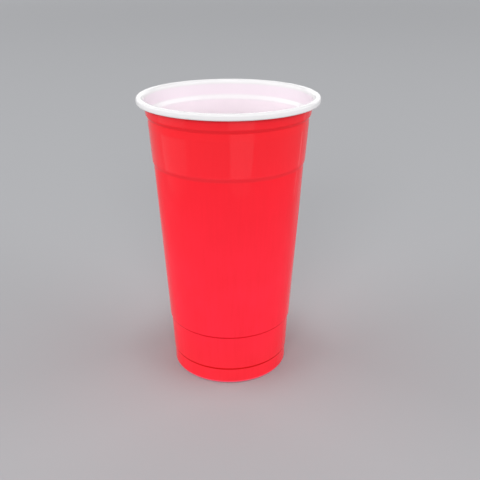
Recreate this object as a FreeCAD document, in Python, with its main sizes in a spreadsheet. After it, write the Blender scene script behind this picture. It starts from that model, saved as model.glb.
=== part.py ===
"""A tall two-tone plastic drinks cup, thermoformed from one sheet and rolled over at the rim.

The sheet is red on its outer side and white on its inner side. It starts at a pushed-up base, turns down
into a narrow foot ring and climbs the side in five bands, each a step wider than the one below: foot, heel,
body, grip panel and neck. At the top it rolls outwards and back under itself into a hollow bead, so the rim
shows the white side. The cup is one piece, so it is one Body: the section of its sheet, turned about Z.

Every length is in millimetres and every angle in degrees. The origin is at the centre of the table plane
that the foot ring stands on, and +Z is up.
"""

import FreeCAD, Part
import math
import os
from collections import namedtuple

import Sketcher

SIZES = (
    # Overall
    ("RimDiameter", 98.0, "across the outside of the rolled rim, which takes the lid"),
    ("CupHeight", 160.2, "from the table to the top of the rim"),
    ("FootDiameter", 67.6, "across the outside of the foot"),
    # Thickness of the sheet, which thins where it is drawn furthest
    ("RimWall", 0.5, "sheet in the neck and the rolled rim"),
    ("SideWall", 0.42, "sheet in the drawn side, measured level"),
    ("BaseWall", 0.6, "sheet in the base"),
    # Rolled rim
    ("BeadWidth", 4.15, "across the roll, from its inner side to the outside of the rim"),
    ("BeadHeight", 3.35, "from the top of the roll to its underside"),
    ("CrestBend", 1.5, "inside bend where the neck turns out over the top"),
    ("EdgeBend", 0.7, "inside bend at the roll's upper outer edge"),
    ("UnderBend", 0.5, "inside bend at the roll's lower outer edge"),
    ("TipBend", 0.4, "inside bend that tucks the tip up into the roll"),
    ("TipLength", 0.6, "straight end of the sheet, standing inside the roll"),
    ("TipGap", 0.25, "between the neck's top and the tucked tip"),
    # Neck, and the stacking ledge under it on which the next cup of a stack rests
    ("NeckFlare", 0.95, "how much wider the neck is at its top than at the ledge"),
    ("LedgeDepth", 8.7, "from the top of the rim to the top of the ledge"),
    ("LedgeStep", 1.12, "how far the ledge steps out"),
    ("LedgeRise", 1.9, "height of the ledge"),
    ("CollarHeight", 4.0, "height of the upright collar under the ledge"),
    # Grip panel and the shoulder under it
    ("PanelDraft", 3.95, "slope of the grip panel"),
    ("ShoulderDepth", 33.9, "from the top of the rim to the top of the shoulder"),
    ("ShoulderStep", 0.7, "how far the shoulder steps out"),
    ("ShoulderRise", 1.9, "height of the shoulder"),
    # Heel, between the foot and the body
    ("HeelHeight", 30.9, "from the table to the top of the heel"),
    ("HeelDraft", 2.4, "slope of the heel"),
    ("HeelStep", 0.7, "how far the body stands out over the heel"),
    ("HeelRise", 1.0, "height of the step between heel and body"),
    # Foot
    ("FootHeight", 9.5, "from the table to the top of the foot"),
    ("FootStep", 0.45, "how far the heel stands out over the foot"),
    ("FootRise", 0.8, "height of the step between foot and heel"),
    ("FootBend", 1.0, "inside bend where the foot turns under"),
    ("RingWidth", 3.2, "from the outside of the foot to the inner edge of its ring"),
    # Pushed-up base
    ("PushUp", 3.0, "how far the base stands above the table"),
    ("SkirtLean", 10.0, "lean of the skirt between the foot ring and the base"),
)

# A round bend is drawn as flats whose middles stay this close to its arc, in mm. A corner that turns by
# 30 degrees or less stays plain, because rounding it would move the surface by less than that.
ARC_TOLERANCE = 0.15

# A corner of the section: its radius and height, as expressions of the sheet's cells.
Corner = namedtuple("Corner", "radius height")


def make_sheet(doc):
    """The spreadsheet of driving dimensions: a name, a plain number under that alias, and its meaning."""
    sheet = doc.addObject("Spreadsheet::Sheet", "Sizes")
    for row, (alias, value, meaning) in enumerate(SIZES, start=1):
        sheet.set(f"A{row}", alias)
        sheet.set(f"B{row}", str(value))
        sheet.set(f"C{row}", meaning)
        sheet.setAlias(f"B{row}", alias)
    doc.recompute()
    return sheet


def value_of(owner, expression):
    """The number that an expression of the sheet's cells gives."""
    return float(owner.evalExpression(expression))


def bend(sheet, name, centre, across, up, first, last):
    """The corners of one side of a bend, on its arc about a centre from one angle to another.

    The arc's radius may differ across and up, where the sheet changes its thickness round the bend.
    """
    half_flat = math.acos(1 - ARC_TOLERANCE / value_of(sheet, across))
    flats = math.ceil(math.radians(abs(last - first)) / (2 * half_flat))
    corners = {}
    for number in range(flats + 1):
        angle = first + (last - first) * number / flats
        corners[f"{name}{number}"] = Corner(
            f"{centre.radius} + ({across}) * cos({angle:g})",
            f"{centre.height} + ({up}) * sin({angle:g})",
        )
    return corners


def base_corners(red):
    """The base and the foot ring's inner edge, from the axis outwards, on the red side or the white.

    The white side lies one wall above the red. Where a level stretch meets the leaning skirt its corner
    also moves out, by the wall times the tangent of half the angle that is left of the turn.
    """
    ring = "Sizes.FootDiameter / 2 - Sizes.RingWidth"
    skirt = f"{ring} - Sizes.PushUp * tan(Sizes.SkirtLean)"
    shift = "" if red else " + Sizes.BaseWall * tan(45 - Sizes.SkirtLean / 2)"
    lift = "" if red else " + Sizes.BaseWall"
    return {
        "Middle": Corner("0", f"Sizes.PushUp{lift}"),
        "SkirtTop": Corner(f"{skirt}{shift}", f"Sizes.PushUp{lift}"),
        "RingEdge": Corner(f"{ring}{shift}", "0" if red else "Sizes.BaseWall"),
    }


def foot_corners(sheet, red):
    """The bend where the foot turns under, on the red side or the white."""
    centre = Corner(
        "Sizes.FootDiameter / 2 - Sizes.SideWall - Sizes.FootBend",
        "Sizes.BaseWall + Sizes.FootBend",
    )
    across = "Sizes.FootBend + Sizes.SideWall" if red else "Sizes.FootBend"
    up = "Sizes.FootBend + Sizes.BaseWall" if red else "Sizes.FootBend"
    return bend(sheet, "Foot", centre, across, up, -90, 0)


def side_corners(red):
    """The steps up the side, from the top of the foot to the top of the ledge.

    What belongs to the foot is placed from the table and the foot's diameter, and what belongs to the rim
    from the rim's top and diameter. The body's straight cone joins the two.
    """
    wall = "" if red else " - Sizes.SideWall"
    foot = f"Sizes.FootDiameter / 2{wall}"
    heel_bottom = f"{foot} + Sizes.FootStep"
    heel_base = "Sizes.FootHeight + Sizes.FootRise"
    heel_top = f"{heel_bottom} + (Sizes.HeelHeight - ({heel_base})) * tan(Sizes.HeelDraft)"

    ledge_top = "Sizes.CupHeight - Sizes.LedgeDepth"
    ledge_bottom = f"{ledge_top} - Sizes.LedgeRise"
    collar = (
        "Sizes.RimDiameter / 2 - Sizes.BeadWidth + Sizes.RimWall"
        f" - Sizes.NeckFlare - Sizes.LedgeStep{wall}"
    )
    collar_bottom = f"{ledge_bottom} - Sizes.CollarHeight"
    shoulder_top = "Sizes.CupHeight - Sizes.ShoulderDepth"
    panel = f"{collar} - ({collar_bottom} - ({shoulder_top})) * tan(Sizes.PanelDraft)"
    return {
        "FootTop": Corner(foot, "Sizes.FootHeight"),
        "HeelBottom": Corner(heel_bottom, heel_base),
        "HeelTop": Corner(heel_top, "Sizes.HeelHeight"),
        "BodyBottom": Corner(f"{heel_top} + Sizes.HeelStep", "Sizes.HeelHeight + Sizes.HeelRise"),
        "BodyTop": Corner(f"{panel} - Sizes.ShoulderStep", f"{shoulder_top} - Sizes.ShoulderRise"),
        "PanelBottom": Corner(panel, shoulder_top),
        "CollarBottom": Corner(collar, collar_bottom),
        "CollarTop": Corner(collar, ledge_bottom),
    }


def rim_corners(sheet, red):
    """The neck and the rolled rim: four quarter bends, clockwise from the neck round to the tucked tip.

    The two sides of a bend share its centre, so the sheet keeps its thickness all the way round.
    """
    inside = "Sizes.RimDiameter / 2 - Sizes.BeadWidth"
    outside = "Sizes.RimDiameter / 2"
    top = "Sizes.CupHeight"
    underside = "Sizes.CupHeight - Sizes.BeadHeight"
    tip = f"{inside} + Sizes.RimWall + Sizes.TipGap"

    neck_wall = " + Sizes.RimWall" if red else ""
    corners = {"NeckBottom": Corner(f"{inside} - Sizes.NeckFlare{neck_wall}", f"{top} - Sizes.LedgeDepth")}
    for name, cell, wall_x, towards_x, wall_z, towards_z, angle in (
        ("Crest", "CrestBend", inside, "+", top, "-", 180),
        ("Edge", "EdgeBend", outside, "-", top, "-", 90),
        ("Under", "UnderBend", outside, "-", underside, "+", 0),
        ("Tip", "TipBend", tip, "+", underside, "+", -90),
    ):
        back = f"(Sizes.{cell} + Sizes.RimWall)"
        centre = Corner(f"{wall_x} {towards_x} {back}", f"{wall_z} {towards_z} {back}")
        radius = f"Sizes.{cell}" if red else back
        corners.update(bend(sheet, name, centre, radius, radius, angle, angle - 90))
    tip_wall = " + Sizes.RimWall" if red else ""
    end = f"{underside} + Sizes.TipBend + Sizes.RimWall + Sizes.TipLength"
    corners["TipEnd"] = Corner(f"{tip}{tip_wall}", end)
    return corners


def sheet_section(sheet):
    """The closed section of the sheet: up its red side from the axis, and back down its white side."""
    section = {}
    for red in (True, False):
        path = {
            **base_corners(red),
            **foot_corners(sheet, red),
            **side_corners(red),
            **rim_corners(sheet, red),
        }
        names = list(path) if red else reversed(path)
        side = "Red" if red else "White"
        section.update({f"{side}{name}": path[name] for name in names})
    return section


def place(sketch, point, name, corner):
    """Dimensions a point of a sketch from the origin, or holds it on an axis that it lies on."""
    origin = (-1, 1)
    level_axis, upright_axis = -1, -2
    for kind, axis, expression in (
        ("DistanceX", upright_axis, corner.radius),
        ("DistanceY", level_axis, corner.height),
    ):
        distance = value_of(sketch, expression)
        if abs(distance) < 1e-9:
            sketch.addConstraint(Sketcher.Constraint("PointOnObject", *point, axis))
            continue
        index = sketch.addConstraint(Sketcher.Constraint(kind, *origin, *point, distance))
        sketch.renameConstraint(index, f"{name}{kind[-1]}")
        sketch.setExpression(f"Constraints.{name}{kind[-1]}", expression)


def draw_outline(sketch, corners):
    """Draws a closed outline of straight lines through named corners."""
    spots = [
        FreeCAD.Vector(value_of(sketch, corner.radius), value_of(sketch, corner.height), 0)
        for corner in corners.values()
    ]
    for start, end in zip(spots, spots[1:] + spots[:1]):
        sketch.addGeometry(Part.LineSegment(start, end), False)
    for line, (name, corner) in enumerate(corners.items()):
        previous = (line - 1) % len(corners)
        sketch.addConstraint(Sketcher.Constraint("Coincident", previous, 2, line, 1))
        place(sketch, (line, 1), name, corner)


def make_cup(doc, sheet):
    """The cup: the section of its sheet on the XZ plane, turned a full turn about Z."""
    body = doc.addObject("PartDesign::Body", "Cup")
    body.Label = "cup"
    sketch = body.newObject("Sketcher::SketchObject", "SheetSection")
    plane = next(feature for feature in body.Origin.OriginFeatures if feature.Role == "XZ_Plane")
    sketch.AttachmentSupport = [(plane, "")]
    sketch.MapMode = "FlatFace"
    draw_outline(sketch, sheet_section(sheet))
    cup = body.newObject("PartDesign::Revolution", "FormedSheet")
    cup.Profile = (sketch, [""])
    cup.ReferenceAxis = (sketch, ["V_Axis"])
    cup.Angle = 360
    return body


def check(doc, bodies):
    """Stops on any object that failed to build and on any piece that isn't one sound solid."""
    for item in doc.Objects:
        if {"Invalid", "Error"} & set(item.State):
            raise RuntimeError(f"{item.Label} failed: {item.State}")
    for body in bodies:
        shape = body.Shape
        if shape.isNull() or not shape.isValid() or len(shape.Solids) != 1:
            raise RuntimeError(f"{body.Label} is not one valid solid")


def main():
    """Builds the document and writes each piece to its own STEP file."""
    doc = FreeCAD.newDocument("drinks_cup")
    sheet = make_sheet(doc)
    bodies = [make_cup(doc, sheet)]
    doc.recompute()
    check(doc, bodies)
    os.makedirs("parts", exist_ok=True)
    for body in bodies:
        body.Shape.exportStep(f"parts/{body.Label}.step")
        box = body.Shape.BoundBox
        print(
            f"{body.Label}: {box.XLength:.2f} x {box.YLength:.2f} x {box.ZLength:.2f} mm,"
            f" {body.Shape.Volume / 1000:.2f} cm3"
        )


main()
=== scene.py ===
"""Looks of a tall two-tone plastic drinks cup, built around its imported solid.

The cup is one thermoformed sheet, red on its outer side and white on its inner side, rolled over at the rim.
Its white side is drawn as one wire path, from the middle of the base to the tip that is tucked into the roll.
The path's corners are rounded as the mould and the rim roller round them, and the path is spun about Z. The
sheet's thickness is then laid on behind it, and that back is the red side.
"""

import logging
import math
from dataclasses import dataclass, replace
from enum import Enum

import bmesh
import bpy
from mathutils import Euler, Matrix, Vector


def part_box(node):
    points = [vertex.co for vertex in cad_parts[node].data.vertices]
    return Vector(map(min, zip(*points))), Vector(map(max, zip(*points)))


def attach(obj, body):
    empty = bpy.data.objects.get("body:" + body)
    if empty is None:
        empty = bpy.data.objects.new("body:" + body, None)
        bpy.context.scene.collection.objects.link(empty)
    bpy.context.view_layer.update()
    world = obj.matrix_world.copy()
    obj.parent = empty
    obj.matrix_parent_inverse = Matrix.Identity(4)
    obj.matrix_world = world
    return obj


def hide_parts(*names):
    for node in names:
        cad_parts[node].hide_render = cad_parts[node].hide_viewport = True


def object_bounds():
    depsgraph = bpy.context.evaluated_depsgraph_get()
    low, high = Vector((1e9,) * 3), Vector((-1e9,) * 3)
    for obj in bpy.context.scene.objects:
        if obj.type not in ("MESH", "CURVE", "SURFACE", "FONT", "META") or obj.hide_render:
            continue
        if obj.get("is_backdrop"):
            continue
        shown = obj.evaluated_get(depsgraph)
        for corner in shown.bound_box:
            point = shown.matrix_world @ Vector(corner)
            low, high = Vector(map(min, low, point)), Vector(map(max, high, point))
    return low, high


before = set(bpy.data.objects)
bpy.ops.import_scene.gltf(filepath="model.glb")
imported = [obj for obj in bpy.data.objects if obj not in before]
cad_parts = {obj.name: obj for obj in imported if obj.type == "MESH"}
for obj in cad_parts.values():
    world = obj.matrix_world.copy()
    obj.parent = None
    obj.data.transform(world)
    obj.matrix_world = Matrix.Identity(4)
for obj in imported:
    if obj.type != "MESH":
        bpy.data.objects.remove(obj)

LOG = logging.getLogger("drinks_cup")
MM = 0.001
CAD_NODE = "cup"
# Refractive index of polypropylene
POLYPROPYLENE_IOR = 1.49
# Nearly all values of a noise pattern lie between these
NOISE_LOW, NOISE_HIGH = 0.3, 0.7
# Nearly all sums of two such patterns lie between these
NOISE_SUM_LOW, NOISE_SUM_HIGH = 0.7, 1.3
# A narrow band is full to the first share of its width from its middle, and fades out at the second
BAND_FULL, BAND_FADED = 0.3, 0.7


class Press(Enum):
    """How well a zone of the sheet is pressed against the polished mould, which gives it its gloss.

    The value is the zone's material slot on the white side. The red side's slots follow, in the same order.
    """

    FULL = 0
    DRAWN = 1
    CREASE = 2


class Level(Enum):
    """Levels of the cup at which the look of the sheet changes, from the table up."""

    TABLE = "table"
    FOOT = "top of the foot"
    HEEL = "top of the heel"
    BODY = "body, clear of the heel"
    SHOULDER = "shoulder under the grip panel"
    COLLAR = "collar, just under the stacking ledge"
    LEDGE_FOOT = "foot of the stacking ledge"
    LEDGE = "top of the stacking ledge"
    NECK = "neck, clear of the ledge"
    NECK_TOP = "neck, just under the roll"
    CREST = "start of the roll"


class PaintedBand(Enum):
    """Narrow bands round the cup whose colours are painted light: painted shade in the creases of the steps,
    and a painted highlight along the bend under the foot.
    """

    # Painted highlight: a light pink line along the bend under the foot
    FOOT_BEND = "outside of the bend under the foot, where the sheet is thinnest"
    # Painted shade: the tone of the shaded line in the crease of each step, in this band and the three below
    FOOT_CREASE = "crease between foot and heel, where the sheet stays thick"
    HEEL_CREASE = "crease between heel and body, where the sheet stays thick"
    SHOULDER_STEP = "step under the grip panel, where the sheet stays thick"
    LEDGE_STEP = "step under the neck, on the back of the stacking ledge"


# ---------------------------------------------------------------------------------------------------------
# Small helpers
# ---------------------------------------------------------------------------------------------------------


def linear(code: str) -> tuple[float, float, float, float]:
    """Turns an sRGB hex colour into the linear colour that a shader socket takes.

    Args:
        code: The colour as "#RRGGBB".

    Returns:
        Red, green, blue and an alpha of 1, linear.
    """
    parts = [int(code[i : i + 2], 16) / 255 for i in (1, 3, 5)]
    red, green, blue = (c / 12.92 if c <= 0.04045 else ((c + 0.055) / 1.055) ** 2.4 for c in parts)
    return red, green, blue, 1.0


def add_node(
    tree: bpy.types.NodeTree, kind: str, inputs: dict | None = None, **settings: object
) -> bpy.types.Node:
    """Adds a shader node with its settings, input values and incoming links.

    Args:
        tree: The node tree that gets the node.
        kind: The node's type, such as "ShaderNodeBump".
        inputs: A value, or another node's output to link, for each named or numbered input.
        **settings: Properties of the node itself.

    Returns:
        The new node.
    """
    node = tree.nodes.new(kind)
    for name, value in settings.items():
        setattr(node, name, value)
    for key, value in (inputs or {}).items():
        if isinstance(value, bpy.types.NodeSocket):
            tree.links.new(value, node.inputs[key])
        else:
            node.inputs[key].default_value = value
    return node


def mask_band(
    tree: bpy.types.NodeTree, height: bpy.types.NodeSocket, middle: float, width: float
) -> bpy.types.NodeSocket:
    """Adds the mask of a narrow band.

    Args:
        tree: The node tree that gets the mask.
        height: The height over the table.
        middle: Height of the band's middle, in metres.
        width: The band's width, in metres.

    Returns:
        A value that is 1 in the band and fades to 0 past its edges.
    """
    away = add_node(tree, "ShaderNodeMath", {0: height, 1: middle}, operation="SUBTRACT")
    gap = add_node(tree, "ShaderNodeMath", {0: away.outputs[0]}, operation="ABSOLUTE")
    mask = add_node(
        tree,
        "ShaderNodeMapRange",
        {
            "Value": gap.outputs[0],
            "From Min": width * BAND_FULL,
            "From Max": width * BAND_FADED,
            "To Min": 1.0,
            "To Max": 0.0,
        },
    )
    return mask.outputs[0]


def new_material(name: str) -> tuple[bpy.types.Material, bpy.types.NodeTree]:
    """Makes an empty node material.

    Args:
        name: The material's name.

    Returns:
        The material and its cleared node tree.
    """
    material = bpy.data.materials.new(name)
    material.use_nodes = True
    material.node_tree.nodes.clear()
    return material, material.node_tree


def shade_between(value: float, low: float, high: float, start: float, end: float) -> float:
    """Slides from one value to another as a third goes from low to high.

    Args:
        value: Where to read.
        low: Where the slide starts.
        high: Where it ends.
        start: What it gives up to low.
        end: What it gives from high on.

    Returns:
        The value there.
    """
    share = min(1.0, max(0.0, (value - low) / (high - low)))
    return start + (end - start) * share


# ---------------------------------------------------------------------------------------------------------
# The sheet's section
# ---------------------------------------------------------------------------------------------------------


@dataclass(frozen=True)
class Corner:
    """A corner of the sheet's white side, before it is rounded.

    Attributes:
        radius: Distance from the cup's axis, in metres.
        height: Height over the table, in metres.
        bend: Radius of the rounding on the white side, in metres, or 0 for the path's two ends.
    """

    radius: float
    height: float
    bend: float = 0.0

    @property
    def point(self) -> Vector:
        """The corner on the XZ plane."""
        return Vector((self.radius, 0.0, self.height))


@dataclass(frozen=True)
class SheetSection:
    """Sizes of the formed sheet in metres, the same as the solid's apart from its rounder bends.

    The rim's radius and the cup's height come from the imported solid's box.
    """

    rim_radius: float
    cup_height: float
    foot_radius: float = 33.8 * MM
    # Thickness of the sheet, which thins where it is drawn furthest
    rim_wall: float = 0.5 * MM
    side_wall: float = 0.42 * MM
    base_wall: float = 0.6 * MM
    # Rolled rim
    bead_width: float = 4.15 * MM
    bead_height: float = 3.35 * MM
    crest_bend: float = 2.0 * MM
    edge_bend: float = 1.2 * MM
    under_bend: float = 1.0 * MM
    tip_bend: float = 0.9 * MM
    tip_length: float = 1.5 * MM
    tip_gap: float = 0.25 * MM
    # Neck, stacking ledge and upright collar
    neck_flare: float = 0.95 * MM
    neck_rise: float = 6.7 * MM
    ledge_depth: float = 8.7 * MM
    ledge_step: float = 1.12 * MM
    ledge_rise: float = 1.9 * MM
    ledge_bend: float = 1.6 * MM
    collar_height: float = 4.0 * MM
    # Grip panel and its shoulder
    panel_draft: float = math.radians(3.95)
    shoulder_depth: float = 33.9 * MM
    shoulder_step: float = 0.7 * MM
    shoulder_rise: float = 1.9 * MM
    shoulder_bend: float = 1.6 * MM
    # Heel, between foot and body
    heel_height: float = 30.9 * MM
    heel_draft: float = math.radians(2.4)
    heel_step: float = 0.7 * MM
    heel_rise: float = 1.0 * MM
    # Foot and pushed-up base
    foot_height: float = 9.5 * MM
    foot_step: float = 0.45 * MM
    foot_rise: float = 0.8 * MM
    foot_bend: float = 1.0 * MM
    ring_width: float = 3.2 * MM
    push_up: float = 3.0 * MM
    skirt_lean: float = math.radians(10.0)
    skirt_bend: float = 0.4 * MM
    # The crisp steps low on the side: a bend that bulges into the cup, and one that bulges out of it
    bend_in: float = 0.55 * MM
    bend_out: float = 0.12 * MM
    # The levels where the colour changes lie this far over the top of the heel, under and over the foot of
    # the stacking ledge, over the ledge's top, and under the start of the roll
    heel_fade: float = 30.0 * MM
    collar_fade: float = 1.0 * MM
    ledge_fade: float = 0.3 * MM
    neck_fade: float = 0.8 * MM
    crest_fade: float = 0.6 * MM
    # The band of painted highlight in the foot's bend lies at this share of the bend's height, and the bands
    # of painted shade lie in their steps
    foot_bend_share: float = 0.6
    foot_bend_band: float = 0.9 * MM
    foot_band: float = 1.2 * MM
    heel_band: float = 1.0 * MM
    shoulder_band: float = 2.4 * MM
    ledge_band: float = 2.6 * MM

    @property
    def ledge_top(self) -> float:
        """Height of the top of the stacking ledge."""
        return self.cup_height - self.ledge_depth

    @property
    def ledge_bottom(self) -> float:
        """Height of the bottom of the stacking ledge."""
        return self.ledge_top - self.ledge_rise

    @property
    def shoulder_top(self) -> float:
        """Height of the top of the shoulder, where the grip panel starts."""
        return self.cup_height - self.shoulder_depth

    @property
    def neck_radius(self) -> float:
        """Radius of the neck's white side where it turns out into the roll."""
        return self.rim_radius - self.bead_width

    @property
    def ring_radius(self) -> float:
        """Radius of the foot ring's inner edge."""
        return self.foot_radius - self.ring_width

    def base(self) -> list[Corner]:
        """Sets out the base, its skirt and the foot ring.

        Returns:
            Their corners, from the axis outwards.
        """
        skirt = self.ring_radius - self.push_up * math.tan(self.skirt_lean)
        # The white side's corners stand further out than the red side's by the wall's mitre
        shift = self.base_wall * math.tan(math.radians(45) - self.skirt_lean / 2)
        top = self.push_up + self.base_wall
        return [
            Corner(0.0, top),
            Corner(skirt + shift, top, self.skirt_bend),
            Corner(self.ring_radius + shift, self.base_wall, self.skirt_bend),
            Corner(self.foot_radius - self.side_wall, self.base_wall, self.foot_bend),
        ]

    def side(self) -> list[Corner]:
        """Sets out the side and the steps in it.

        Returns:
            Its corners, from the top of the foot to the top of the stacking ledge.
        """
        foot = self.foot_radius - self.side_wall
        heel_base = self.foot_height + self.foot_rise
        heel = foot + self.foot_step
        heel_top = heel + (self.heel_height - heel_base) * math.tan(self.heel_draft)
        neck = self.neck_radius - self.neck_flare
        collar = neck + self.rim_wall - self.ledge_step - self.side_wall
        collar_base = self.ledge_bottom - self.collar_height
        panel = collar - (collar_base - self.shoulder_top) * math.tan(self.panel_draft)
        return [
            Corner(foot, self.foot_height, self.bend_in),
            Corner(heel, heel_base, self.bend_out),
            Corner(heel_top, self.heel_height, self.bend_in),
            Corner(heel_top + self.heel_step, self.heel_height + self.heel_rise, self.bend_out),
            Corner(panel - self.shoulder_step, self.shoulder_top - self.shoulder_rise, self.shoulder_bend),
            Corner(panel, self.shoulder_top, self.shoulder_bend),
            Corner(collar, collar_base, self.shoulder_bend),
            Corner(collar, self.ledge_bottom, self.ledge_bend),
            Corner(neck, self.ledge_top, self.ledge_bend),
        ]

    def rim(self) -> list[Corner]:
        """Sets out the roll: out over the crest, down the outer side, back underneath and up to its tip.

        Returns:
            Its corners, from the start of the roll to the tucked tip.
        """
        underside = self.cup_height - self.bead_height
        above_neck = self.ledge_depth - self.neck_rise
        crest = self.neck_radius + above_neck * self.neck_flare / self.neck_rise
        tip = self.neck_radius + self.rim_wall + self.tip_gap
        return [
            Corner(crest, self.cup_height, self.crest_bend),
            Corner(self.rim_radius, self.cup_height, self.edge_bend),
            Corner(self.rim_radius, underside, self.under_bend),
            Corner(tip, underside, self.tip_bend),
            Corner(tip, underside + self.tip_length),
        ]

    def corners(self) -> list[Corner]:
        """The whole path of the white side, from the middle of the base to the tip."""
        return [*self.base(), *self.side(), *self.rim()]

    def levels(self) -> dict[Level, float]:
        """Works out the levels at which the look of the sheet changes.

        Returns:
            The height of each, in metres.
        """
        crest = self.cup_height - self.crest_bend
        return {
            Level.TABLE: 0.0,
            Level.FOOT: self.foot_height,
            Level.HEEL: self.heel_height,
            Level.BODY: self.heel_height + self.heel_fade,
            Level.SHOULDER: self.shoulder_top,
            Level.COLLAR: self.ledge_bottom - self.collar_fade,
            Level.LEDGE_FOOT: self.ledge_bottom + self.ledge_fade,
            Level.LEDGE: self.ledge_top,
            Level.NECK: self.ledge_top + self.neck_fade,
            Level.NECK_TOP: crest - self.crest_fade,
            Level.CREST: crest,
        }

    def bands(self) -> dict[PaintedBand, tuple[float, float]]:
        """Works out the narrow bands of painted shade and painted highlight.

        Returns:
            The height of the middle of each and its width, in metres.
        """
        foot_bend = self.foot_bend_share * (self.foot_bend + self.base_wall)
        return {
            PaintedBand.FOOT_BEND: (foot_bend, self.foot_bend_band),
            PaintedBand.FOOT_CREASE: (self.foot_height + self.foot_rise / 2, self.foot_band),
            PaintedBand.HEEL_CREASE: (self.heel_height + self.heel_rise / 2, self.heel_band),
            PaintedBand.SHOULDER_STEP: (self.shoulder_top - self.shoulder_rise / 2, self.shoulder_band),
            PaintedBand.LEDGE_STEP: (self.ledge_bottom + self.ledge_rise / 2, self.ledge_band),
        }

    def press(self, height: float) -> Press:
        """Tells how well the sheet is pressed against the mould, which is least in the steps' creases.

        Args:
            height: Height over the table, in metres.

        Returns:
            The zone at that height.
        """
        bands = self.bands()
        for band in (PaintedBand.FOOT_CREASE, PaintedBand.HEEL_CREASE, PaintedBand.SHOULDER_STEP, PaintedBand.LEDGE_STEP):
            middle, width = bands[band]
            if abs(height - middle) < width / 2:
                return Press.CREASE
        return Press.FULL if height > self.shoulder_top else Press.DRAWN

    def gauge(self, spot: Vector) -> float:
        """Gives the sheet's thickness, which is most in the base and least up the side.

        Args:
            spot: A point of the white side.

        Returns:
            The thickness behind that point, in metres.
        """
        radius = math.hypot(spot.x, spot.y)
        if radius < self.ring_radius:
            return self.base_wall
        if spot.z < self.foot_height:
            top = self.base_wall + self.foot_bend
            return shade_between(spot.z, self.base_wall, top, self.base_wall, self.side_wall)
        return shade_between(spot.z, self.ledge_bottom, self.ledge_top, self.side_wall, self.rim_wall)


# ---------------------------------------------------------------------------------------------------------
# Finishes
# ---------------------------------------------------------------------------------------------------------


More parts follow.
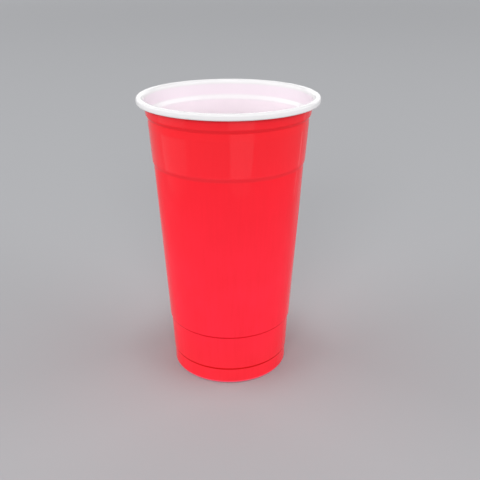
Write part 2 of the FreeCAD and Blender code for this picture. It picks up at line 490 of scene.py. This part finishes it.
@dataclass(frozen=True)
class SheetFinish:
    """One side of a co-extruded polypropylene sheet, thermoformed against a polished mould.

    The moulding leaves a clear gloss with a faint orange peel, fine upright streaks where the sheet was drawn
    down the mould, and a slow waviness in the thin wall that bends what it mirrors. Where the sheet is drawn
    thin, the other side's colour shows through a little. Painted light is laid into the colours too: painted
    shade on the red neck under the roll, painted light deep inside on the white side, painted shade in the
    steps' creases, and a painted highlight along the foot's bend.

    Attributes:
        name: The material's name.
        full: Colour where the sheet keeps its thickness, as on the roll.
        drawn: Colours up the side, each at its level, with painted light and shade among them as set out
            above.
        painted_bands: Colours of the narrow bands: painted shade in the steps' creases and a painted
            highlight along the foot's bend.
        gloss: Roughness of the best polished places.
        dulled: Roughness along the dullest streaks.
        patchiness: Share by which streaks and clouds take the drawn colour back to the full one.
        streak_depth: Depth of the upright streaks, in metres.
        shine: Strength of the gloss at a straight look, where 0.5 is that of a clean polished surface.
        streak_width: Width of an upright streak, in metres, as all the sizes below.
        streak_length: Its length.
        cloud_size: Size of the cloudy patches in the colour.
        peel_size: Size of the orange peel's bumps.
        peel_depth: Their depth.
        wave_size: Size of the wall's slow waves.
        wave_stretch: How many times taller than wide they are.
        wave_depth: Their depth.
        roll_margin: How far past the neck's top the roll's full colour begins.
    """

    name: str
    full: str
    drawn: tuple[tuple[Level, str], ...]
    painted_bands: tuple[tuple[PaintedBand, str], ...]
    gloss: float
    dulled: float
    patchiness: float
    streak_depth: float
    shine: float
    streak_width: float = 1.4 * MM
    streak_length: float = 45 * MM
    cloud_size: float = 16 * MM
    # Real orange peel on such a cup is under 1 mm across, and is drawn coarser here so that it shows
    peel_size: float = 1.6 * MM
    peel_depth: float = 0.006 * MM
    wave_size: float = 18 * MM
    wave_stretch: float = 2.0
    wave_depth: float = 0.30 * MM
    roll_margin: float = 0.4 * MM

    def make(self, section: SheetSection) -> bpy.types.Material:
        """Builds the material.

        Args:
            section: The sheet's sizes.

        Returns:
            The material.
        """
        material, tree = new_material(self.name)
        coords = add_node(tree, "ShaderNodeTexCoord").outputs["Object"]
        patterns = self.add_patterns(tree, coords)
        roughness = add_node(
            tree,
            "ShaderNodeMapRange",
            {
                "Value": patterns["streaks"],
                "From Min": NOISE_LOW,
                "From Max": NOISE_HIGH,
                "To Min": self.gloss,
                "To Max": self.dulled,
            },
        )
        relief = None
        for pattern, depth in (
            ("waves", self.wave_depth),
            ("streaks", self.streak_depth),
            ("peel", self.peel_depth),
        ):
            inputs = {"Height": patterns[pattern], "Distance": depth, "Strength": 1.0}
            if relief is not None:
                inputs["Normal"] = relief.outputs["Normal"]
            relief = add_node(tree, "ShaderNodeBump", inputs)
        shader = add_node(
            tree,
            "ShaderNodeBsdfPrincipled",
            {
                "Base Color": self.add_colour(tree, coords, patterns, section),
                "Roughness": roughness.outputs[0],
                "IOR": POLYPROPYLENE_IOR,
                "Specular IOR Level": self.shine,
                "Normal": relief.outputs["Normal"],
            },
        )
        add_node(tree, "ShaderNodeOutputMaterial", {"Surface": shader.outputs[0]})
        return material

    def add_patterns(
        self, tree: bpy.types.NodeTree, coords: bpy.types.NodeSocket
    ) -> dict[str, bpy.types.NodeSocket]:
        """Adds the noise patterns that the moulding leaves in the sheet.

        Args:
            tree: The material's nodes.
            coords: The piece's own coordinates.

        Returns:
            The values of the streaks, clouds, peel and waves, each from 0 to 1 about 0.5.
        """
        patterns = {}
        # Name, size across, size up and number of finer layers
        for name, across, up, detail in (
            ("streaks", self.streak_width, self.streak_length, 2.0),
            ("clouds", self.cloud_size, self.cloud_size, 1.0),
            ("peel", self.peel_size, self.peel_size, 1.0),
            ("waves", self.wave_size, self.wave_size * self.wave_stretch, 0.0),
        ):
            scale = (1 / across, 1 / across, 1 / up)
            mapping = add_node(tree, "ShaderNodeMapping", {"Vector": coords, "Scale": scale})
            noise = add_node(
                tree, "ShaderNodeTexNoise", {"Vector": mapping.outputs[0], "Scale": 1.0, "Detail": detail}
            )
            patterns[name] = noise.outputs[0]
        return patterns

    def add_colour(
        self,
        tree: bpy.types.NodeTree,
        coords: bpy.types.NodeSocket,
        patterns: dict[str, bpy.types.NodeSocket],
        section: SheetSection,
    ) -> bpy.types.NodeSocket:
        """Adds the sheet's colour: by level up the side, patchy, with painted shade in the creases' bands and
        a painted highlight in the foot's, full on the roll.

        Args:
            tree: The material's nodes.
            coords: The piece's own coordinates.
            patterns: The values of the streaks and the clouds, from 0 to 1 about 0.5.
            section: The sheet's sizes.

        Returns:
            The colour.
        """
        height = add_node(tree, "ShaderNodeSeparateXYZ", {0: coords}).outputs["Z"]
        level = add_node(
            tree, "ShaderNodeMapRange", {"Value": height, "From Min": 0.0, "From Max": section.cup_height}
        )
        ramp = add_node(tree, "ShaderNodeValToRGB", {0: level.outputs[0]})
        stops = ramp.color_ramp.elements
        while len(stops) < len(self.drawn):
            stops.new(1.0)
        levels = section.levels()
        for stop, (spot, tone) in zip(stops, self.drawn):
            stop.position = levels[spot] / section.cup_height
            stop.color = linear(tone)

        patchy = add_node(
            tree, "ShaderNodeMath", {0: patterns["streaks"], 1: patterns["clouds"]}, operation="ADD"
        )
        loss = add_node(
            tree,
            "ShaderNodeMapRange",
            {
                "Value": patchy.outputs[0],
                "From Min": NOISE_SUM_LOW,
                "From Max": NOISE_SUM_HIGH,
                "To Min": 0.0,
                "To Max": self.patchiness,
            },
        )
        flat = add_node(tree, "ShaderNodeVectorMath", {0: coords, 1: (1.0, 1.0, 0.0)}, operation="MULTIPLY")
        radius = add_node(tree, "ShaderNodeVectorMath", {0: flat.outputs[0]}, operation="LENGTH")
        rolled = add_node(
            tree,
            "ShaderNodeMath",
            {0: radius.outputs["Value"], 1: section.neck_radius + self.roll_margin},
            operation="GREATER_THAN",
        )
        full = add_node(
            tree, "ShaderNodeMath", {0: loss.outputs[0], 1: rolled.outputs[0]}, operation="MAXIMUM"
        )
        # A mix node takes its two colours on inputs 6 and 7, and gives the mixed one on output 2
        shown = add_node(
            tree,
            "ShaderNodeMix",
            {"Factor": full.outputs[0], 6: ramp.outputs[0], 7: linear(self.full)},
            data_type="RGBA",
        )
        # The bands lay their colours over the rest: painted shade in the creases of the steps, a painted
        # highlight along the foot's bend
        bands = section.bands()
        for band, tone in self.painted_bands:
            shown = add_node(
                tree,
                "ShaderNodeMix",
                {
                    "Factor": mask_band(tree, height, *bands[band]),
                    6: shown.outputs[2],
                    7: linear(tone),
                },
                data_type="RGBA",
            )
        return shown.outputs[2]


RED_SIDE = SheetFinish(
    "glossy_red_polypropylene",
    full="#EF2630",
    # Lighter and pinker down the body, where the white side shows through the thin wall; darker up the grip
    # panel towards the roll, and on the neck under the roll that darkening is painted shade
    drawn=(
        (Level.TABLE, "#FB2F3D"),
        (Level.FOOT, "#FB2F3D"),
        (Level.HEEL, "#FF2D40"),
        (Level.BODY, "#FF2D40"),
        (Level.SHOULDER, "#F82733"),
        (Level.COLLAR, "#F2252E"),
        (Level.CREST, "#EF2630"),
    ),
    painted_bands=(
        # A painted highlight along the foot's bend, then painted shade in the creases of the steps
        (PaintedBand.FOOT_BEND, "#FF6078"),
        (PaintedBand.FOOT_CREASE, "#D80808"),
        (PaintedBand.HEEL_CREASE, "#E80A1C"),
        (PaintedBand.SHOULDER_STEP, "#F32F39"),
        (PaintedBand.LEDGE_STEP, "#F22B33"),
    ),
    gloss=0.05,
    dulled=0.10,
    patchiness=0.3,
    streak_depth=0.004 * MM,
    shine=0.19,
    wave_depth=1.0 * MM,
)
# The red side in the zones of Press: less gloss where it is drawn further, and least in the creases
RED_SIDES = (
    RED_SIDE,
    replace(RED_SIDE, name="satin_red_polypropylene", shine=0.07),
    replace(RED_SIDE, name="dull_red_polypropylene", shine=0.03),
)
WHITE_SIDE = SheetFinish(
    "glossy_white_polypropylene",
    full="#E3E2E3",
    # Pink where the red side shows through the drawn wall, and nearly white on the thick stacking ledge; the
    # lightness down the collar and body deep inside is painted light, standing in for light that comes
    # through the thin wall into the shaded depth
    drawn=(
        (Level.TABLE, "#F9F5F7"),
        (Level.FOOT, "#FEF5FA"),
        (Level.BODY, "#FEF5FA"),
        (Level.COLLAR, "#F2E6ED"),
        (Level.LEDGE_FOOT, "#E7E4E6"),
        (Level.LEDGE, "#E7E4E6"),
        (Level.NECK, "#EADDE6"),
        (Level.NECK_TOP, "#E7DDE4"),
        (Level.CREST, "#E3E2E3"),
    ),
    painted_bands=(),
    gloss=0.12,
    dulled=0.13,
    patchiness=0.06,
    streak_depth=0.001 * MM,
    shine=0.10,
)


# ---------------------------------------------------------------------------------------------------------
# The cup
# ---------------------------------------------------------------------------------------------------------


@dataclass
class FormedCup:
    """The cup, formed from one sheet: a spun path with the sheet's thickness laid on behind it.

    Attributes:
        section: The sheet's sizes.
        name: The piece's name.
        steps_round: Facets in a full turn about the axis.
        turn_per_facet: How far each facet of a bend may turn, in radians.
        fewest_facets: Facets in even the slightest bend.
        loop_gap: How close to each bend a plain stretch gets a loop, so that the bend's shading ends there.
        plain_run: The shortest plain stretch that gets such loops, in metres.
        merge_gap: Points closer than this become one where the spin closes.
    """

    section: SheetSection
    name: str = "formed_sheet"
    steps_round: int = 192
    turn_per_facet: float = math.radians(7.5)
    fewest_facets: int = 2
    loop_gap: float = 0.35 * MM
    plain_run: float = 1.4 * MM
    merge_gap: float = 0.001 * MM

    def build(self) -> bpy.types.Object:
        """Builds the cup, dresses it and puts it in place of the plain solid.

        Returns:
            The finished piece.
        """
        bm = bmesh.new()
        self.draw_path(bm)
        self.spin_path(bm)
        mesh = bpy.data.meshes.new(self.name)
        bm.to_mesh(mesh)
        bm.free()
        cup = bpy.data.objects.new(self.name, mesh)
        bpy.context.scene.collection.objects.link(cup)
        self.lay_on_thickness(cup)
        self.dress(cup)
        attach(cup, "root")
        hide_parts(CAD_NODE)
        return cup

    def draw_path(self, bm: bmesh.types.BMesh) -> None:
        """Draws the white side's path on the XZ plane and rounds its corners.

        Args:
            bm: The mesh that gets the path.
        """
        corners = self.section.corners()
        # How far each corner's rounding reaches along the path, and how far the path turns there
        reaches, turns = [0.0], [0.0]
        for before, corner, after in zip(corners, corners[1:], corners[2:]):
            turn = (corner.point - before.point).angle(after.point - corner.point)
            reaches.append(corner.bend * math.tan(turn / 2))
            turns.append(turn)
        reaches.append(0.0)
        turns.append(0.0)

        last = bmesh.ops.create_vert(bm, co=corners[0].point)["vert"][0]
        rounded = []
        for i in range(1, len(corners)):
            start, end = corners[i - 1].point, corners[i].point
            run = end - start
            plain = run.length - reaches[i - 1] - reaches[i]
            spots = [end]
            if plain > self.plain_run:
                step = run.normalized()
                loops = [start + step * (reaches[i - 1] + self.loop_gap)] if i > 1 else []
                if i < len(corners) - 1:
                    loops.append(end - step * (reaches[i] + self.loop_gap))
                spots = [*loops, end]
            for spot in spots:
                new = bmesh.ops.extrude_vert_indiv(bm, verts=[last])["verts"][0]
                bmesh.ops.translate(bm, verts=[new], vec=spot - new.co)
                last = new
            rounded.append(last)

        for vert, reach, turn in zip(rounded, reaches[1:-1], turns[1:-1]):
            bmesh.ops.bevel(
                bm,
                geom=[vert],
                offset=reach,
                offset_type="OFFSET",
                segments=max(self.fewest_facets, math.ceil(turn / self.turn_per_facet)),
                profile=0.5,  # a round arc
                affect="VERTICES",
                clamp_overlap=False,
                material=-1,
            )

    def spin_path(self, bm: bmesh.types.BMesh) -> None:
        """Spins the path about Z into the white side, facing out of the sheet, and gives each face its zone.

        Args:
            bm: The mesh that holds the path.
        """
        bmesh.ops.spin(
            bm,
            geom=[*bm.verts, *bm.edges],
            cent=(0, 0, 0),
            axis=(0, 0, 1),
            angle=math.tau,
            steps=self.steps_round,
            use_merge=True,
        )
        bmesh.ops.remove_doubles(bm, verts=bm.verts, dist=self.merge_gap)
        bmesh.ops.recalc_face_normals(bm, faces=bm.faces)
        crest = max(bm.faces, key=lambda face: face.calc_center_median().z)
        if crest.normal.z < 0:
            bmesh.ops.reverse_faces(bm, faces=bm.faces)
        for face in bm.faces:
            face.smooth = True
            face.material_index = self.section.press(face.calc_center_median().z).value

    def lay_on_thickness(self, cup: bpy.types.Object) -> None:
        """Adds the sheet's thickness behind its white side, thinner where the sheet is drawn further.

        Args:
            cup: The spun white side.
        """
        gauge = cup.vertex_groups.new(name="gauge")
        for vert in cup.data.vertices:
            gauge.add([vert.index], self.section.gauge(vert.co) / self.section.base_wall, "REPLACE")
        solid = cup.modifiers.new("sheet_thickness", "SOLIDIFY")
        solid.thickness = self.section.base_wall
        solid.offset = -1.0  # all of it behind the white side
        solid.vertex_group = gauge.name
        solid.thickness_vertex_group = 0.0
        solid.use_even_offset = True
        solid.material_offset = len(Press)
        solid.material_offset_rim = 0  # the tip's cut edge is white

    def dress(self, cup: bpy.types.Object) -> None:
        """Gives the cup the materials of its white and its red side, a slot for each zone.

        Args:
            cup: The piece.
        """
        white = WHITE_SIDE.make(self.section)
        for material in (*[white] * len(Press), *(side.make(self.section) for side in RED_SIDES)):
            cup.data.materials.append(material)


# ---------------------------------------------------------------------------------------------------------
# The studio
# ---------------------------------------------------------------------------------------------------------


@dataclass(frozen=True)
class SoftLamp:
    """A soft box: a plain area lamp that faces the cup.

    Attributes:
        name: The lamp's name.
        around: Its direction from the cup, turned right from the camera's side, in degrees.
        above: Its height over the horizon, seen from the cup, in degrees.
        distance: How far it is from the middle of the cup, in metres.
        size: Its width and height, in metres.
        level: The light it gives a surface that faces it, where 1 shows a colour as it is written.
    """

    name: str
    around: float
    above: float
    distance: float
    size: tuple[float, float]
    level: float

    @property
    def power(self) -> float:
        """The power that lights the cup to the lamp's level."""
        return self.level * (math.pi * self.distance) ** 2

    def build(self, target: Vector) -> bpy.types.Object:
        """Builds the lamp.

        Args:
            target: The point that it faces.

        Returns:
            The lamp.
        """
        around, above = math.radians(self.around), math.radians(self.above)
        away = Vector(
            (math.sin(around) * math.cos(above), -math.cos(around) * math.cos(above), math.sin(above))
        )
        light = bpy.data.lights.new(self.name, "AREA")
        light.shape = "RECTANGLE"
        light.size, light.size_y = self.size
        light.energy = self.power
        lamp = bpy.data.objects.new(self.name, light)
        lamp.location = target + away * self.distance
        lamp.rotation_euler = away.to_track_quat("Z", "Y").to_euler()
        lamp.visible_camera = False
        bpy.context.scene.collection.objects.link(lamp)
        return lamp


class GlossCard(SoftLamp):
    """A low pale card beside the cup, which gives no light and is only seen mirrored in the cup's gloss.

    Its level is how bright it looks there, where 1 is white.
    """

    @property
    def power(self) -> float:
        """The power that makes the card look as bright as its level."""
        return self.level * math.pi * self.size[0] * self.size[1]

    def build(self, target: Vector) -> bpy.types.Object:
        """Builds the card.

        Args:
            target: The point that it faces.

        Returns:
            The card.
        """
        card = super().build(target)
        card.visible_diffuse = False
        return card


@dataclass
class Studio:
    """A plain pale floor, soft lamps, gloss cards and the camera.

    The big lamps stand beyond the floor's edge, so that they light it evenly.

    Attributes:
        floor_colour: The floor's colour.
        floor_roughness: Its roughness.
        floor_shine: Strength of its gloss, which is none.
        floor_radius: Its radius, in metres.
        floor_sides: Facets of its edge.
        air_colour: Colour of the background.
        air_light: Light from all round, where 1 shows a colour as it is written.
        camera_place: Where the camera stands, in metres.
        camera_down: How far it looks down, in radians.
        camera_right: How far it is turned right, in radians.
        lens: Its focal length, in millimetres.
        sensor: Width of its sensor, in millimetres.
        nearest: The shortest distance at which it sees, in metres.
        lamps: The lamps and cards.
    """

    floor_colour: str = "#AEAFB2"
    floor_roughness: float = 0.7
    floor_shine: float = 0.0
    floor_radius: float = 5.0
    floor_sides: int = 96
    air_colour: str = "#C9CACC"
    air_light: float = 0.25
    camera_place: tuple[float, float, float] = (0.0, -0.3497, 0.2274)
    camera_down: float = math.radians(23.425)
    camera_right: float = math.radians(1.005)
    lens: float = 49.13
    sensor: float = 36.0
    nearest: float = 0.01
    lamps: tuple[SoftLamp, ...] = (
        SoftLamp("left_lamp", -92.0, 23.0, 6.0, (7.50, 2.10), 0.64),
        SoftLamp("front_lamp", -5.0, 21.0, 6.0, (4.50, 2.40), 0.64),
        SoftLamp("right_lamp", 85.0, 23.0, 6.0, (7.50, 2.10), 0.62),
        SoftLamp("back_lamp", 180.0, 20.0, 6.0, (9.00, 2.10), 0.28),
        SoftLamp("top_lamp", 0.0, 85.0, 3.0, (0.60, 0.60), 0.17),
        GlossCard("left_card", -83.0, -10.0, 0.285, (0.240, 0.060), 0.40),
        GlossCard("front_card", 18.0, -7.5, 0.285, (0.158, 0.085), 0.74),
        GlossCard("right_card", 119.7, -10.0, 0.295, (0.020, 0.060), 0.50),
        GlossCard("back_card", 180.0, -13.5, 0.210, (0.100, 0.060), 0.55),
    )

    def build(self) -> None:
        """Builds the floor, the world, the lamps and the camera."""
        self.lay_floor()
        self.light_air()
        low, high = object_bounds()
        for lamp in self.lamps:
            lamp.build((low + high) / 2)
        self.place_camera()
        bpy.context.scene.view_settings.view_transform = "Standard"

    def lay_floor(self) -> None:
        """Lays a round pale floor that the cup stands on."""
        bm = bmesh.new()
        bmesh.ops.create_circle(bm, cap_ends=True, segments=self.floor_sides, radius=self.floor_radius)
        mesh = bpy.data.meshes.new("studio_floor")
        bm.to_mesh(mesh)
        bm.free()
        floor = bpy.data.objects.new("studio_floor", mesh)
        bpy.context.scene.collection.objects.link(floor)
        # Matt paint, which scatters all its light: the floor takes the cup's soft shadow and mirrors nothing
        material, tree = new_material("matt_pale_floor")
        shader = add_node(
            tree,
            "ShaderNodeBsdfPrincipled",
            {
                "Base Color": linear(self.floor_colour),
                "Roughness": self.floor_roughness,
                "Specular IOR Level": self.floor_shine,
            },
        )
        add_node(tree, "ShaderNodeOutputMaterial", {"Surface": shader.outputs[0]})
        mesh.materials.append(material)
        floor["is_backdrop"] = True

    def light_air(self) -> None:
        """Lights everything softly from all round, and shows a pale background to eye and gloss."""
        world = bpy.data.worlds.new("studio_air")
        world.use_nodes = True
        tree = world.node_tree
        tree.nodes.clear()
        path = add_node(tree, "ShaderNodeLightPath")
        seen = add_node(
            tree,
            "ShaderNodeMath",
            {0: path.outputs["Is Camera Ray"], 1: path.outputs["Is Glossy Ray"]},
            operation="MAXIMUM",
        )
        light = add_node(
            tree, "ShaderNodeBackground", {"Color": linear("#FFFFFF"), "Strength": self.air_light}
        )
        view = add_node(
            tree, "ShaderNodeBackground", {"Color": linear(self.air_colour), "Strength": 1.0}
        )
        mix = add_node(
            tree, "ShaderNodeMixShader", {0: seen.outputs[0], 1: light.outputs[0], 2: view.outputs[0]}
        )
        add_node(tree, "ShaderNodeOutputWorld", {"Surface": mix.outputs[0]})
        bpy.context.scene.world = world

    def place_camera(self) -> None:
        """Puts the camera in front of the cup, looking down into its mouth."""
        data = bpy.data.cameras.new("studio_camera")
        data.sensor_width = self.sensor
        data.lens = self.lens
        data.clip_start = self.nearest
        camera = bpy.data.objects.new("studio_camera", data)
        camera.location = self.camera_place
        camera.rotation_euler = Euler((math.radians(90) - self.camera_down, 0.0, -self.camera_right))
        bpy.context.scene.collection.objects.link(camera)
        bpy.context.scene.camera = camera


def main(cad_box: tuple[Vector, Vector]) -> None:
    """Builds the cup and the studio round it.

    Args:
        cad_box: The solid's lowest and highest corner. Not used.
    """
    logging.basicConfig(level=logging.INFO, format="%(message)s")
    low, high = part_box(CAD_NODE)
    section = SheetSection(rim_radius=min(-low.x, high.x, -low.y, high.y), cup_height=high.z)
    cup = FormedCup(section).build()
    LOG.info("%s: %d faces on its white side", cup.name, len(cup.data.polygons))
    Studio().build()
    LOG.info("studio: floor, air, lamps and camera")


if __name__ == "__main__":
    main(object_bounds())
